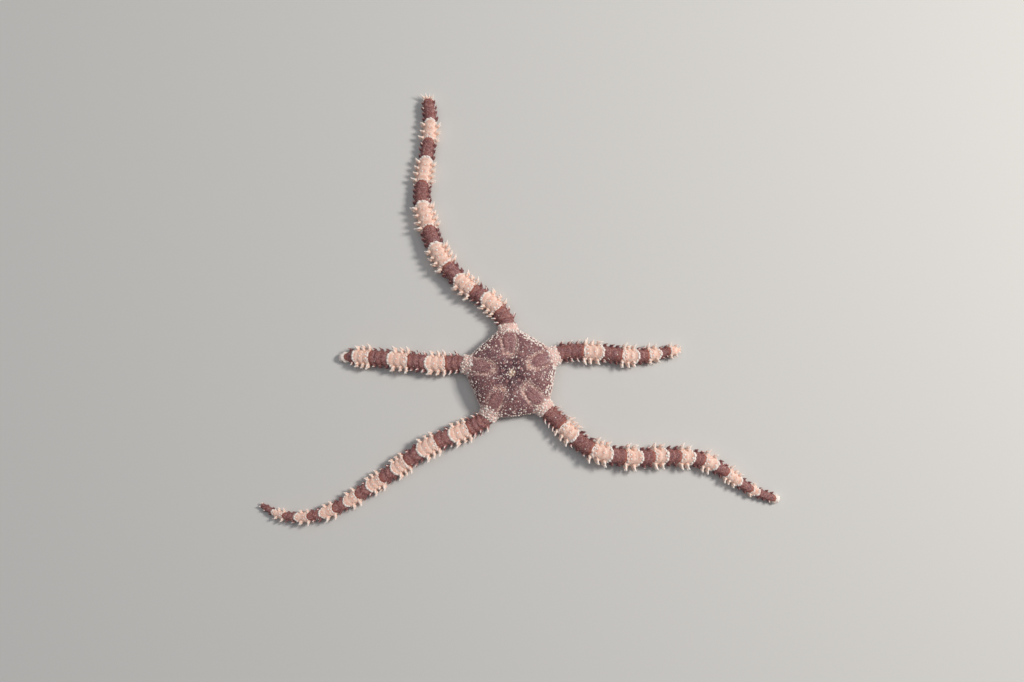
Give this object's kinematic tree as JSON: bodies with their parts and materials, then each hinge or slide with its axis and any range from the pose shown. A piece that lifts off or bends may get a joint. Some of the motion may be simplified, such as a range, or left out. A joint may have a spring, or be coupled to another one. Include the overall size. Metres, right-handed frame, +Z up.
{
  "type": "brittle star",
  "caption": "Still life-size brittle star lying on its mouth side: pentagonal disc, slender banded arms with rows of short blunt spines, two arms shorter.",
  "frame": {"origin": "middle of the whole animal's box, on the floor that it lies on", "axes": "+Z up out of the back of the disc, +Y the way the longest arm points, +X to the right seen from above"},
  "size_m": [0.1126, 0.0972, 0.0051],
  "materials": {
    "disc_skin": "damp granular skin, dark maroon with pale pink grains and bare dark shields over the arm roots",
    "arm_skin": "damp bony plates in maroon bands and peach-pink bands with white-tipped spines",
    "jaw_plate": "smooth pale pink bony plates"
  },
  "bodies": {
    "root": {"disc": "disc_skin", "jaw_1": "jaw_plate", "jaw_2": "jaw_plate", "jaw_3": "jaw_plate", "jaw_4": "jaw_plate", "jaw_5": "jaw_plate", "arm_1_base": "arm_skin", "arm_1_middle": "arm_skin", "arm_1_outer": "arm_skin", "arm_1_tip": "arm_skin", "arm_2_base": "arm_skin", "arm_2_tip": "arm_skin", "arm_3_base": "arm_skin", "arm_3_middle": "arm_skin", "arm_3_outer": "arm_skin", "arm_3_tip": "arm_skin", "arm_4_base": "arm_skin", "arm_4_middle": "arm_skin", "arm_4_tip": "arm_skin", "arm_5_base": "arm_skin", "arm_5_tip": "arm_skin"}
  },
  "joints": []
}
